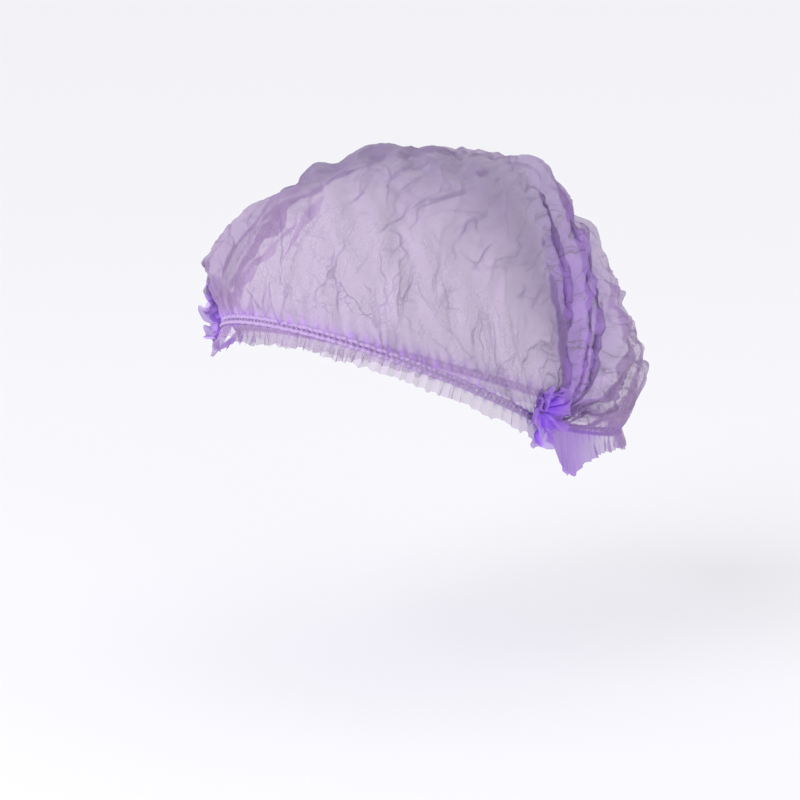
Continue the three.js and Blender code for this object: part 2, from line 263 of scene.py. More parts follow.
def pleated(across, over):
    """Doubles the sheet back on itself at the closed pleats: its points, and a mask of those pleats."""
    folds_and_shade = over.copy()
    lift = np.zeros(len(over))
    mask = np.zeros(len(over))
    for pleat in CLOSED_PLEATS:
        wander = np.sin(across / 8 + pleat["over"]) + 0.7 * np.sin(across / 3.7 + 2 * pleat["over"])
        x = (over - pleat["over"] - 0.8 * wander) / pleat["half_width"]
        near = np.abs(x) < 1
        closed = closed_here(pleat, across) * (0.86 + 0.14 * np.sin(across / 5 + 3 * pleat["over"]))
        window = np.where(near, np.cos(np.pi * x / 2) ** 2, 0)
        folds_and_shade -= closed * pleat["back"] * np.sin(np.pi * x) * window
        lift -= closed * pleat["lift"] * np.sin(np.pi * x) * window
        mask = np.maximum(mask, closed * window)
    return on_cap(across, folds_and_shade, lift), mask


ACROSS_STEPS = 420
OVER_STEPS = 215
TRIAL_STEPS = 1500
TRIAL_ACROSS = 135.0
across_line = np.linspace(TUFT_HALF_ANGLE, 180 - TUFT_HALF_ANGLE, ACROSS_STEPS)
even_over = np.linspace(0, BACK_SEAM, TRIAL_STEPS)
# the rows of the grid are spaced evenly along this trial column
trial_line, _ = pleated(np.full(TRIAL_STEPS, TRIAL_ACROSS), even_over)
trial_run = np.concatenate([[0], np.cumsum(np.linalg.norm(np.diff(trial_line, axis=0), axis=1))])
over_line = np.interp(np.linspace(0, trial_run[-1], OVER_STEPS), trial_run, even_over)
ACROSS, OVER = np.meshgrid(across_line, over_line, indexing="ij")
base, pleat_mask = pleated(ACROSS.ravel(), OVER.ravel())
base = base.reshape(ACROSS_STEPS, OVER_STEPS, 3)
pleat_mask = pleat_mask.reshape(ACROSS_STEPS, OVER_STEPS)


def grid_normals(points):
    n = np.cross(np.gradient(points, axis=0), np.gradient(points, axis=1))
    n /= np.linalg.norm(n, axis=2)[..., None] + 1e-12
    return n if (n * (points - MIDDLE)).sum() > 0 else -n


def run_lengths(points, along):
    steps = np.linalg.norm(np.diff(points, axis=along), axis=2)
    return np.insert(np.cumsum(steps, axis=along), 0, 0, axis=along)


def ridges(x, y, wave_x, wave_y, count, seed):
    """Soft random ridges about wave_x apart, each about wave_y long."""
    draw = np.random.default_rng(seed)
    total = np.zeros_like(x)
    for _ in range(count):
        kx = 2 * math.pi / wave_x * draw.uniform(0.55, 1.5)
        ky = 2 * math.pi / wave_y * draw.normal()
        total += np.sin(kx * x + ky * y + draw.uniform(0, 2 * math.pi))
    return total / math.sqrt(count / 2)


def creases(x, y, count, length, tall, spread, seed):
    """Sharp single creases, each a short curved line with a steep side and a flatter one: the height that
    they give the sheet, and at each point the signed distance to the nearest of them and its strength."""
    draw = np.random.default_rng(seed)
    height = np.zeros_like(x)
    offset = np.full_like(x, 0.005)
    strength = np.zeros_like(x)
    for _ in range(count):
        middle_x, middle_y = draw.uniform(x.min(), x.max()), draw.uniform(y.min(), y.max())
        turn = 0.6 * ease((middle_x / x.max() - 0.42) / 0.3) + draw.normal(0, spread)
        bow = draw.normal(0, 12)
        half = length * draw.uniform(0.3, 1.3) / 2
        rise = tall * draw.uniform(0.4, 1.3) * draw.choice([-1, 1])
        steep, flat = draw.permutation([0.0011, draw.uniform(0.003, 0.007)])
        wave, start = draw.uniform(0.008, 0.02), draw.uniform(0, 6.3)
        weight = draw.uniform(0.3, 1)
        far_x, far_y = x - middle_x, y - middle_y
        t = far_y * math.cos(turn) + far_x * math.sin(turn)
        n = far_x * math.cos(turn) - far_y * math.sin(turn)
        n = n - bow * t * t / 2 - 0.0006 * np.sin(2 * math.pi * t / wave + start)
        taper = np.clip(1 - (t / half) ** 2, 0, 1)
        height += rise * taper * np.exp(np.where(n < 0, n / steep, -n / flat))
        nearer = (np.abs(n) < np.abs(offset)) & (taper > 0)
        offset = np.where(nearer, n, offset)
        strength = np.where(nearer, weight * taper ** 0.7, strength)
    return height, offset, strength


def facets(x, y, wide, long, seed):
    """A crumple of flat facets about wide across and long along, which meet in sharp bent lines."""
    draw = np.random.default_rng(seed)
    u = x / wide + 0.45 * ridges(x, y, 2.6 * wide, 2.6 * long, 10, seed + 1)
    v = y / long + 0.45 * ridges(x, y, 2.6 * wide, 2.6 * long, 10, seed + 2)
    u, v = u - u.min(), v - v.min()
    i, j = np.floor(u).astype(int), np.floor(v).astype(int)
    u, v = u - i, v - j
    heights = draw.uniform(-1, 1, (i.max() + 2, j.max() + 2))
    a, b, c, d = heights[i, j], heights[i + 1, j], heights[i, j + 1], heights[i + 1, j + 1]
    rising = np.where(u > v, a + (b - a) * u + (d - b) * v, a + (c - a) * v + (d - c) * u)
    falling = np.where(u + v < 1, a + (b - a) * u + (c - a) * v, d + (c - d) * (1 - u) + (b - d) * (1 - v))
    return np.where((i + j) % 2 == 0, rising, falling)


def pull(a, b, rest, free_a, free_b, stiffness, push_only=False):
    """Moves both ends of each link towards its rest length, in place."""
    d = b - a
    length = np.sqrt((d * d).sum(-1)) + 1e-12
    change = (length - rest) / length * stiffness
    if push_only:
        change = np.minimum(change, 0)
    change = change / np.maximum(free_a + free_b, 1e-9)
    a += d * (change * free_a)[..., None]
    b -= d * (change * free_b)[..., None]


THREAD_PULL = 0.9
SHEAR_PULL = 0.25
FORM_PULL = 0.5
STRAIGHT_ACROSS = 0.97
STRAIGHT_OVER = 0.985


def relax(points, form, normals, rest_across, rest_over, free, inwards, outwards, bend, rounds):
    """Relaxes a sheet: its threads keep their rest lengths, it resists bending and stays near its form."""
    shear = np.hypot((rest_across[:, 1:] + rest_across[:, :-1]) / 2, (rest_over[1:] + rest_over[:-1]) / 2)
    far_across = (rest_across[1:] + rest_across[:-1]) * STRAIGHT_ACROSS
    far_over = (rest_over[:, 1:] + rest_over[:, :-1]) * STRAIGHT_OVER
    for _ in range(rounds):
        for p in (0, 1):
            near, far = np.s_[p:-1:2], np.s_[p + 1::2]
            pull(points[near], points[far], rest_across[p::2], free[near], free[far], THREAD_PULL)
            near, far = np.s_[:, p:-1:2], np.s_[:, p + 1::2]
            pull(points[near], points[far], rest_over[:, p::2], free[near], free[far], THREAD_PULL)
        for p in (0, 1):
            for q in (0, 1):
                near, far = np.s_[p:-1:2, q:-1:2], np.s_[p + 1::2, q + 1::2]
                pull(points[near], points[far], shear[p::2, q::2], free[near], free[far], SHEAR_PULL)
                near, far = np.s_[p + 1::2, q:-1:2], np.s_[p:-1:2, q + 1::2]
                pull(points[near], points[far], shear[p::2, q::2], free[near], free[far], SHEAR_PULL)
        for p in range(4):
            near, far = np.s_[p:-2:4], np.s_[p + 2::4]
            pull(points[near], points[far], far_across[p::4], free[near], free[far], bend, True)
            near, far = np.s_[:, p:-2:4], np.s_[:, p + 2::4]
            pull(points[near], points[far], far_over[:, p::4], free[near], free[far], bend, True)
        height = ((points - form) * normals).sum(-1)
        held = np.clip(height, -inwards, outwards) - height
        points += normals * (held * FORM_PULL * free)[..., None]
    return points


GATHER_PITCH = 0.0058
BENDING = 0.2
FULLNESS_OVER = 1.015
LEAST_REST = 0.97
QUICK_ROUNDS, FULL_ROUNDS = 4, 30
run_across = run_lengths(base, 0)
run_over = run_lengths(base, 1)
from_seam = np.minimum(run_over, run_over[:, -1:] - run_over)
from_tuft = np.minimum(ACROSS - TUFT_HALF_ANGLE, 180 - TUFT_HALF_ANGLE - ACROSS)
base_normals = grid_normals(base)
loose = ease((OVER - 80) / 40)
wide, line_offset, line_strength = creases(
    run_across, run_over, count=420, length=0.040, tall=0.0017, spread=0.34, seed=1)
fine, fine_offset, fine_strength = creases(
    run_across, run_over, count=760, length=0.015, tall=0.0007, spread=0.7, seed=2)
finer = np.abs(fine_offset) < np.abs(line_offset)
line_offset = np.where(finer, fine_offset, line_offset)
line_strength = np.where(finer, 0.7 * fine_strength, line_strength)
swell = ridges(run_across, run_over, wave_x=0.030, wave_y=0.08, count=10, seed=3)
crumple = wide + fine + 0.0007 * swell
uneven = ridges(run_across, run_over, wave_x=0.03, wave_y=0.2, count=8, seed=4)
gather_turns = run_across / GATHER_PITCH + 0.12 * uneven
gathers = 0.0016 * np.sin(2 * math.pi * gather_turns) * np.exp(-from_seam / 0.007)
gathers *= 1 - np.exp(-(from_seam / 0.0032) ** 2)
quiet = np.clip(from_seam / 0.006, 0.0, 1) * np.clip(from_tuft / 4, 0, 1) * (1 - 0.6 * pleat_mask)
raised = crumple * quiet * (1 + 0.6 * loose) + gathers * np.clip(from_tuft / 2, 0, 1)
start = base + base_normals * raised[..., None]
free = np.ones((ACROSS_STEPS, OVER_STEPS))
free[[0, -1]] = 0
free[:, [0, -1]] = 0
fullness_across = 1.05 + 0.14 * np.exp(-from_seam / 0.010)
rest_across = np.maximum(
    np.linalg.norm(np.diff(base, axis=0), axis=2) * (fullness_across[1:] + fullness_across[:-1]) / 2,
    LEAST_REST * np.linalg.norm(np.diff(start, axis=0), axis=2))
rest_over = np.maximum(
    np.linalg.norm(np.diff(base, axis=1), axis=2) * FULLNESS_OVER,
    LEAST_REST * np.linalg.norm(np.diff(start, axis=1), axis=2))
inwards = (0.0024 + 0.0024 * loose) * (1 - 0.6 * pleat_mask)
outwards = (0.0034 + 0.0030 * loose) * (1 - 0.6 * pleat_mask)
rounds = FULL_ROUNDS
relaxed = relax(start, base, base_normals, rest_across, rest_over, free, inwards, outwards, BENDING, rounds)


def softened(points, passes):
    """Evens out the smallest ripples of a grid of points, and keeps its borders."""
    for _ in range(passes):
        inner = points[1:-1, 1:-1]
        beside = points[:-2, 1:-1] + points[2:, 1:-1] + points[1:-1, :-2] + points[1:-1, 2:]
        points = points.copy()
        points[1:-1, 1:-1] = 0.5 * inner + 0.125 * beside
    return points


large_facets = 0.0017 * facets(run_across, run_over, wide=0.017, long=0.032, seed=5)
small_facets = 0.0005 * facets(run_across, run_over, wide=0.0065, long=0.013, seed=8)
off_seam = np.clip(from_seam / 0.012, 0, 1)
off_tuft = np.clip(from_tuft / 10, 0, 1)
crisp = (large_facets + small_facets) * off_seam * off_tuft * (1 - 0.5 * pleat_mask) * (1 + 0.8 * loose)
even_points = softened(relaxed, passes=1)
crown_points = even_points + base_normals * crisp[..., None]


def sheet_mesh(name, points, uv, values):
    """A sheet from a grid of points, with its flat coordinates as UV map and named values on its points."""
    rows, columns = points.shape[:2]
    index = np.arange(rows * columns).reshape(rows, columns)
    faces = np.stack([index[:-1, :-1], index[1:, :-1], index[1:, 1:], index[:-1, 1:]], -1).reshape(-1, 4)
    mesh = bpy.data.meshes.new(name)
    mesh.from_pydata(points.reshape(-1, 3).tolist(), [], faces.tolist())
    layer = mesh.uv_layers.new(name="flat")
    corner = np.empty(len(mesh.loops), dtype=np.int32)
    mesh.loops.foreach_get("vertex_index", corner)
    layer.data.foreach_set("uv", uv.reshape(-1, 2)[corner].ravel())
    for key, value in values.items():
        attribute = mesh.attributes.new(key, "FLOAT", "POINT")
        attribute.data.foreach_set("value", value.ravel().astype(np.float32))
    mesh.polygons.foreach_set("use_smooth", np.ones(len(mesh.polygons), dtype=bool))
    mesh.update()
    piece = bpy.data.objects.new(name, mesh)
    bpy.context.scene.collection.objects.link(piece)
    return piece


def curvature(points):
    """How sharply the sheet bends at each point, in 1/m, along and across."""
    bent = np.zeros(points.shape[:2])
    for axis in (0, 1):
        p = np.moveaxis(points, axis, 0)
        step = np.linalg.norm(p[2:] - p[:-2], axis=2) / 2
        second = np.linalg.norm(p[2:] - 2 * p[1:-1] + p[:-2], axis=2) / (step ** 2 + 1e-12)
        grown = np.pad(second, ((1, 1), (0, 0)))
        bent = np.maximum(bent, np.moveaxis(grown, 0, axis))
    return bent


crown_uv = np.stack([run_across * fullness_across, run_over * FULLNESS_OVER], -1)
layered = np.exp(-((OVER - 98) / 21) ** 4) * ease((ACROSS - 90) / 50)
# Painted shade: a broad band over the top of the crown is darkened and greyed, as by shade that falls there; in
# part it also stands for the denser cloth of the pleats bunched there.
painted_top_shade = np.exp(-((OVER - 79) / 25) ** 2)
# Painted shade along sharp bends of the sheet and over the top: these values darken the colour towards a grey
# lilac, and they also raise the cover where the cloth folds.
crease_and_painted_shade = np.clip(np.clip(curvature(even_points) / 2500 - 0.12, 0, 0.5) + painted_top_shade * (1 - 0.6 * layered), 0, 1)
# Painted shade of the gather folds: a deep violet tick just off each seam at every gather, which also thickens
# the cover there, as the cloth of a fold would.
gather_fold_shade = np.clip(0.5 + 0.5 * np.sin(2 * math.pi * gather_turns), 0, 1)
behind = ease((OVER - 140) / 10) * ease((ACROSS - 90) / 40)
gathered = np.clip(
    (0.38 - 0.12 * behind) * np.exp(-from_seam / 0.005)
    + 0.9 * gather_fold_shade ** 5 * np.exp(-((from_seam - 0.0026) / 0.0024) ** 2)
    + 0.9 * np.exp(-from_tuft / 6) + 0.72 * layered + 0.05 * pleat_mask + 0.16 * painted_top_shade, 0, 1)
crown = sheet_mesh("crown_cloth", crown_points, crown_uv, {
    "crease_and_painted_shade": crease_and_painted_shade, "gathered": gathered, "line_offset": 1000 * line_offset,
    "line_near": 1000 * np.abs(line_offset), "line_strength": line_strength})


# shader groups that every cloth piece uses
def shader_group(name, inputs, outputs):
    group = bpy.data.node_groups.new(name, "ShaderNodeTree")
    for label, kind, value in inputs:
        socket = group.interface.new_socket(label, in_out="INPUT", socket_type=kind)
        if value is not None:
            socket.default_value = value
    for label, kind in outputs:
        group.interface.new_socket(label, in_out="OUTPUT", socket_type=kind)
    source = group.nodes.new("NodeGroupInput")
    sink = group.nodes.new("NodeGroupOutput")
    return group, source, sink


def math_node(tree, operation, first, second=None, clamp=False):
    node = tree.nodes.new("ShaderNodeMath")
    node.operation = operation
    node.use_clamp = clamp
    for socket, value in zip(node.inputs, (first, second)):
        if value is None:
            continue
        if isinstance(value, (int, float)):
            socket.default_value = value
        else:
            tree.links.new(value, socket)
    return node.outputs[0]


spunbond, source, sink = shader_group(
    "spunbond",
    [("Flat", "NodeSocketVector", None)],
    [("Mist", "NodeSocketFloat"), ("Line", "NodeSocketFloat")],
)
fibres = spunbond.nodes.new("ShaderNodeTexNoise")
fibres.inputs["Scale"].default_value = 260
fibres.inputs["Detail"].default_value = 5
fibres.inputs["Roughness"].default_value = 0.65
spunbond.links.new(source.outputs["Flat"], fibres.inputs["Vector"])
spunbond.links.new(fibres.outputs["Fac"], sink.inputs["Mist"])
wander = spunbond.nodes.new("ShaderNodeTexNoise")
wander.inputs["Scale"].default_value = 90
wander.inputs["Detail"].default_value = 3
spunbond.links.new(source.outputs["Flat"], wander.inputs["Vector"])
shift = spunbond.nodes.new("ShaderNodeVectorMath")
shift.operation = "MULTIPLY_ADD"
shift.inputs[1].default_value = (0.012, 0.012, 0)
spunbond.links.new(wander.outputs["Color"], shift.inputs[0])
spunbond.links.new(source.outputs["Flat"], shift.inputs[2])
long_way = spunbond.nodes.new("ShaderNodeMapping")
long_way.inputs["Scale"].default_value = (1.0, 0.42, 1.0)
spunbond.links.new(shift.outputs["Vector"], long_way.inputs["Vector"])
cells = spunbond.nodes.new("ShaderNodeTexVoronoi")
cells.feature = "DISTANCE_TO_EDGE"
cells.inputs["Scale"].default_value = 48
spunbond.links.new(long_way.outputs["Vector"], cells.inputs["Vector"])
line_map = spunbond.nodes.new("ShaderNodeMapRange")
line_map.inputs["From Min"].default_value = 0.0
line_map.inputs["From Max"].default_value = 0.020
line_map.inputs["To Min"].default_value = 1.0
line_map.inputs["To Max"].default_value = 0.0
spunbond.links.new(cells.outputs["Distance"], line_map.inputs["Value"])
patch = spunbond.nodes.new("ShaderNodeTexNoise")
patch.inputs["Scale"].default_value = 55
spunbond.links.new(source.outputs["Flat"], patch.inputs["Vector"])
patch_map = spunbond.nodes.new("ShaderNodeMapRange")
patch_map.inputs["From Min"].default_value = 0.45
patch_map.inputs["From Max"].default_value = 0.62
spunbond.links.new(patch.outputs["Fac"], patch_map.inputs["Value"])
line = math_node(spunbond, "MULTIPLY", line_map.outputs["Result"], patch_map.outputs["Result"])
spunbond.links.new(line, sink.inputs["Line"])

creasing, source, sink = shader_group(
    "crease_line",
    [("Offset", "NodeSocketFloat", 0.0), ("Near", "NodeSocketFloat", 0.0),
     ("Strength", "NodeSocketFloat", 0.0), ("Mist", "NodeSocketFloat", 0.5)],
    [("Line", "NodeSocketFloat")],
)
ragged = math_node(creasing, "MULTIPLY_ADD", source.outputs["Mist"], 0.5)
ragged.node.inputs[2].default_value = -0.25
aside = math_node(creasing, "ABSOLUTE", math_node(creasing, "ADD", source.outputs["Offset"], ragged))
thin = creasing.nodes.new("ShaderNodeMapRange")
thin.inputs["From Min"].default_value = 0.14
thin.inputs["From Max"].default_value = 0.60
thin.inputs["To Min"].default_value = 1.0
thin.inputs["To Max"].default_value = 0.0
creasing.links.new(aside, thin.inputs["Value"])
near = creasing.nodes.new("ShaderNodeMapRange")
near.inputs["From Min"].default_value = 1.0
near.inputs["From Max"].default_value = 1.4
near.inputs["To Min"].default_value = 1.0
near.inputs["To Max"].default_value = 0.0
creasing.links.new(source.outputs["Near"], near.inputs["Value"])
drawn = math_node(creasing, "MULTIPLY", thin.outputs["Result"], near.outputs["Result"])
drawn = math_node(creasing, "MULTIPLY", drawn, source.outputs["Strength"])
creasing.links.new(drawn, sink.inputs["Line"])

OPEN_LILAC = (0.38, 0.26, 0.455, 1)
DEEP_LILAC = (0.43, 0.215, 0.76, 1)
# grey lilac of the painted shade in creases, tucks, over the crown's top and at the back frill's corners
PAINTED_SHADE_LILAC = (0.17, 0.11, 0.25, 1)


def nonwoven(name, sheer, dense, deep):
    """Lilac non-woven: the cover of open cloth and of gathered cloth, the colour of the latter, and a painted
    shade in grey lilac where the crease lines and the crease and shade values fall.
    """
    material = bpy.data.materials.new(name)
    material.use_nodes = True
    tree = material.node_tree
    shader = tree.nodes["Principled BSDF"]
    shader.inputs["Roughness"].default_value = 0.62
    shader.inputs["Sheen Weight"].default_value = 0.15
    shader.inputs["Specular IOR Level"].default_value = 0.3
    flat = tree.nodes.new("ShaderNodeUVMap")
    flat.uv_map = "flat"
    cloth = tree.nodes.new("ShaderNodeGroup")
    cloth.node_tree = spunbond
    tree.links.new(flat.outputs["UV"], cloth.inputs["Flat"])
    crease_shade_node = tree.nodes.new("ShaderNodeAttribute")
    crease_shade_node.attribute_name = "crease_and_painted_shade"
    packed = tree.nodes.new("ShaderNodeAttribute")
    packed.attribute_name = "gathered"
    drawn = tree.nodes.new("ShaderNodeGroup")
    drawn.node_tree = creasing
    for label, key in (("Offset", "line_offset"), ("Near", "line_near"), ("Strength", "line_strength")):
        values = tree.nodes.new("ShaderNodeAttribute")
        values.attribute_name = key
        tree.links.new(values.outputs["Fac"], drawn.inputs[label])
    tree.links.new(cloth.outputs["Mist"], drawn.inputs["Mist"])
    # Painted shade: crease lines, a faint net of lines and the crease values darken the colour towards the
    # shade lilac; they also raise the cover, as folded cloth does.
    faint = math_node(tree, "MULTIPLY", cloth.outputs["Line"], 0.18)
    lines = math_node(tree, "MAXIMUM", drawn.outputs["Line"], faint)
    folds_and_shade = math_node(tree, "ADD", lines, crease_shade_node.outputs["Fac"], clamp=True)
    shaded = math_node(tree, "MULTIPLY", folds_and_shade, 0.92)
    depth = math_node(tree, "MAXIMUM", packed.outputs["Fac"], math_node(tree, "MULTIPLY", folds_and_shade, 0.7))
    colour = tree.nodes.new("ShaderNodeMix")
    colour.data_type = "RGBA"
    colour.inputs["A"].default_value = OPEN_LILAC
    colour.inputs["B"].default_value = deep
    tree.links.new(packed.outputs["Fac"], colour.inputs["Factor"])
    lined = tree.nodes.new("ShaderNodeMix")
    lined.data_type = "RGBA"
    lined.inputs["B"].default_value = PAINTED_SHADE_LILAC
    tree.links.new(colour.outputs["Result"], lined.inputs["A"])
    tree.links.new(shaded, lined.inputs["Factor"])
    tree.links.new(lined.outputs["Result"], shader.inputs["Base Color"])
    cover = tree.nodes.new("ShaderNodeMapRange")
    cover.inputs["To Min"].default_value = sheer
    cover.inputs["To Max"].default_value = dense
    tree.links.new(depth, cover.inputs["Value"])
    mist = math_node(tree, "MULTIPLY_ADD", cloth.outputs["Mist"], 0.08)
    mist.node.inputs[2].default_value = -0.04
    misty = math_node(tree, "ADD", cover.outputs["Result"], mist, clamp=True)
    tree.links.new(misty, shader.inputs["Alpha"])
    bump = tree.nodes.new("ShaderNodeBump")
    bump.inputs["Strength"].default_value = 0.05
    bump.inputs["Distance"].default_value = 0.0004
    height = math_node(tree, "SUBTRACT", cloth.outputs["Mist"], cloth.outputs["Line"])
    tree.links.new(height, bump.inputs["Height"])
    tree.links.new(bump.outputs["Normal"], shader.inputs["Normal"])
    return material


crown.data.materials.append(nonwoven("lilac_nonwoven", sheer=0.45, dense=0.88, deep=DEEP_LILAC))
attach(crown, "root")
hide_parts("crown")

# Front and back frills. The edge of the same sheet beyond the stitching: the elastic draws it into small
# leaning pleats about 6 mm apart, its cut edge is a little ragged, and its corners hang by the tufts.
FRILLS = {
    "front": {"over": 0.0, "flare": 0.3, "thread_out": 0.0008,
              "depths": [[4, 15], [9, 14], [16, 8.6], [50, 8.2], [165, 8.6], [173, 10]],
              "seed": 11, "corner": 12, "corner_lean": 0.003, "corner_depth": 0.7, "corner_shade": 0.0},
    "back": {"over": BACK_SEAM, "flare": 0.12, "thread_out": -0.0009,
             "depths": [[4, 9], [9, 10], [16, 8.5], [30, 8], [150, 8.5], [160, 13], [167, 21], [174, 16]],
             "seed": 12, "corner": 22, "corner_lean": 0.006, "corner_depth": 1.5, "corner_shade": 0.28},
}
FRILL_ROWS = 14
POINTS_PER_GATHER = 10
FRILL_ENDS = (4, 176)
SEAM_STEPS = 1600


def seam_line(over, flare, start, stop, count):
    """Evenly spaced places along a seam: the place, the run along it, and its way along, down and out."""
    fine = np.linspace(start, stop, SEAM_STEPS)
    line = on_cap(fine, np.full(SEAM_STEPS, over))
    run = np.concatenate([[0], np.cumsum(np.linalg.norm(np.diff(line, axis=0), axis=1))])
    s = np.linspace(0, run[-1], count)
    across = np.interp(s, run, fine)
    overs = np.full(count, over)
    point = on_cap(across, overs)
    along = on_cap(across + 0.5, overs) - on_cap(across - 0.5, overs)
    along /= np.linalg.norm(along, axis=1)[:, None]
    outward = point * [1, 1, 0]
    outward /= np.linalg.norm(outward, axis=1)[:, None]
    down = flare * outward + [0, 0, -1]
    down -= along * (down * along).sum(1)[:, None]
    down /= np.linalg.norm(down, axis=1)[:, None]
    out = np.cross(along, down)
    out *= np.sign((out * outward).sum(1))[:, None]
    return {"across": across, "run": s, "point": point, "along": along, "down": down, "out": out}


def uneven_phase(run, seed):
    """Turns of the gathers along a seam, unevenly spaced."""
    draw = np.random.default_rng(seed)
    knots = np.arange(0, run[-1] + 0.03, 0.011)
    drift = np.interp(run, knots, draw.normal(0, 0.16, len(knots)))
    return run / GATHER_PITCH + drift


for side, frill in FRILLS.items():
    length = seam_line(frill["over"], frill["flare"], *FRILL_ENDS, count=400)["run"][-1]
    count = int(length / GATHER_PITCH * POINTS_PER_GATHER)
    seam = seam_line(frill["over"], frill["flare"], *FRILL_ENDS, count=count)
    draw = np.random.default_rng(frill["seed"])
    phase = 2 * math.pi * uneven_phase(seam["run"], frill["seed"])
    gather = np.floor(phase / (2 * math.pi)).astype(int)
    tallness = draw.uniform(0.3, 1.3, gather.max() + 2)
    leaning = draw.normal(0, 1.0, gather.max() + 2)
    share = phase / (2 * math.pi) - gather
    height = tallness[gather] * (1 - share) + tallness[gather + 1] * share
    lean = leaning[gather] * (1 - share) + leaning[gather + 1] * share
    table_across, table_depth = np.array(frill["depths"], float).T
    depth = smooth(table_across, table_depth, seam["across"]) / 1000
    ragged = 0.0004 * ridges(seam["run"], np.zeros(count), 0.006, 1, 20, frill["seed"] + 1)
    cut = draw.normal(0, 0.0006, gather.max() + 2)
    depth = depth + ragged + 0.0005 * height * np.sin(phase)
    depth = depth + cut[gather] * (1 - share) + cut[gather + 1] * share
    by_tuft = np.exp(-(np.minimum(seam["across"], 180 - seam["across"]) / frill["corner"]) ** 2)
    rows = []
    for r in np.linspace(0, 1, FRILL_ROWS):
        open_up = (0.35 + 0.65 * ease(r * 1.2)) * (1 - 0.5 * by_tuft)
        sway = 0.0014 * open_up * height * np.sin(phase + 0.6 * lean * r)
        slide = 0.0007 * open_up * height * np.sin(2 * phase + lean) + 0.0012 * lean * r
        rise = 0.0005 * r * ridges(seam["run"], np.full(count, 0.01 * r), 0.02, 0.02, 8, frill["seed"] + 2)
        rows.append(
            seam["point"]
            + seam["down"] * (depth * r)[:, None]
            + seam["out"] * (sway + rise)[:, None]
            + seam["along"] * slide[:, None]
            + AXIS * (np.sign(seam["across"] - 90) * by_tuft * frill["corner_lean"] * r)[:, None])
    points = np.stack(rows, 1)
    steps_along = np.linalg.norm(np.diff(points, axis=0), axis=2).mean(1)
    flat_along = np.concatenate([[0], np.cumsum(steps_along)])
    flat_down = np.linspace(0, 1, FRILL_ROWS) * depth.mean()
    flat = np.stack(np.meshgrid(flat_along, flat_down, indexing="ij"), -1)
    depth_share = np.broadcast_to(np.linspace(0, 1, FRILL_ROWS), points.shape[:2])
    tucked = np.clip(0.5 - 0.5 * np.sin(phase), 0, 1)[:, None] * (1 - 0.55 * depth_share)
    at_seam = 0.28 * np.exp(-(depth_share / 0.2) ** 2)
    in_tucks = 0.9 * np.exp(-((depth_share - 0.28) / 0.16) ** 2) * tucked ** 3
    at_corner = by_tuft[:, None]
    # Painted shade in the tucks of each frill and, on the back frill, at its corners by the tufts; the deeper
    # colour of the tucks and corners is gathered cloth.
    frill_piece = sheet_mesh(side + "_frill_cloth", points, flat, {
        "crease_and_painted_shade": 0.14 * tucked ** 4 + frill["corner_shade"] * at_corner,
        "gathered": np.clip(0.02 + at_seam + in_tucks + frill["corner_depth"] * at_corner, 0, 1)})
    frill_piece.data.materials.append(crown.data.materials[0])
    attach(frill_piece, "root")
    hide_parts(side + "_frill")

# Front and back elastics. Two covered elastic threads are sewn flat along each seam, 2.4 mm apart, with
# a row of short slanted stitches between them. The back pair lies inside the gathered cloth.
THREAD_WIDTH = 0.0016
THREADS_APART = 0.0024
STITCH_PITCH = 0.0026
STITCH_LENGTH = 0.0012
STITCH_SLANT = 0.00035
STITCH_HALF_THICK = 0.00032
THREAD_HALF_THICK = 0.0003
THREAD_ENDS = (5, 175)
THREAD_STEPS = 900


def tube(path, normal, half_wide, half_thick, sides):
    """A closed flattened tube along a path: its points and faces."""
    forward = np.gradient(path, axis=0)
    forward /= np.linalg.norm(forward, axis=1)[:, None]
    sideways = np.cross(forward, normal)
    sideways /= np.linalg.norm(sideways, axis=1)[:, None]
    turn = np.linspace(0, 2 * math.pi, sides, endpoint=False)
    wide = np.broadcast_to(np.cos(turn) * half_wide, (len(path), sides))
    thick = np.broadcast_to(np.sin(turn) * half_thick, (len(path), sides))
    ring = path[:, None] + sideways[:, None] * wide[..., None] + normal[:, None] * thick[..., None]
    rows = len(path)
    index = np.arange(rows * sides).reshape(rows, sides)
    following = np.roll(index, -1, axis=1)
    faces = np.stack([index[:-1], following[:-1], following[1:], index[1:]], -1).reshape(-1, 4).tolist()
    return ring.reshape(-1, 3), faces + [index[0, ::-1].tolist(), index[-1].tolist()]


def solid_piece(name, parts):
    points, faces, offset = [], [], 0
    for part_points, part_faces in parts:
        points.append(part_points)
        faces += [[i + offset for i in face] for face in part_faces]
        offset += len(part_points)
    mesh = bpy.data.meshes.new(name)
    mesh.from_pydata(np.concatenate(points).tolist(), [], faces)
    mesh.polygons.foreach_set("use_smooth", np.ones(len(mesh.polygons), dtype=bool))
    mesh.update()
    piece = bpy.data.objects.new(name, mesh)
    bpy.context.scene.collection.objects.link(piece)
    bpy.ops.object.select_all(action="DESELECT")
    piece.select_set(True)
    bpy.context.view_layer.objects.active = piece
    bpy.ops.object.mode_set(mode="EDIT")
    bpy.ops.mesh.select_all(action="SELECT")
    bpy.ops.mesh.normals_make_consistent(inside=False)
    bpy.ops.object.mode_set(mode="OBJECT")
    return piece


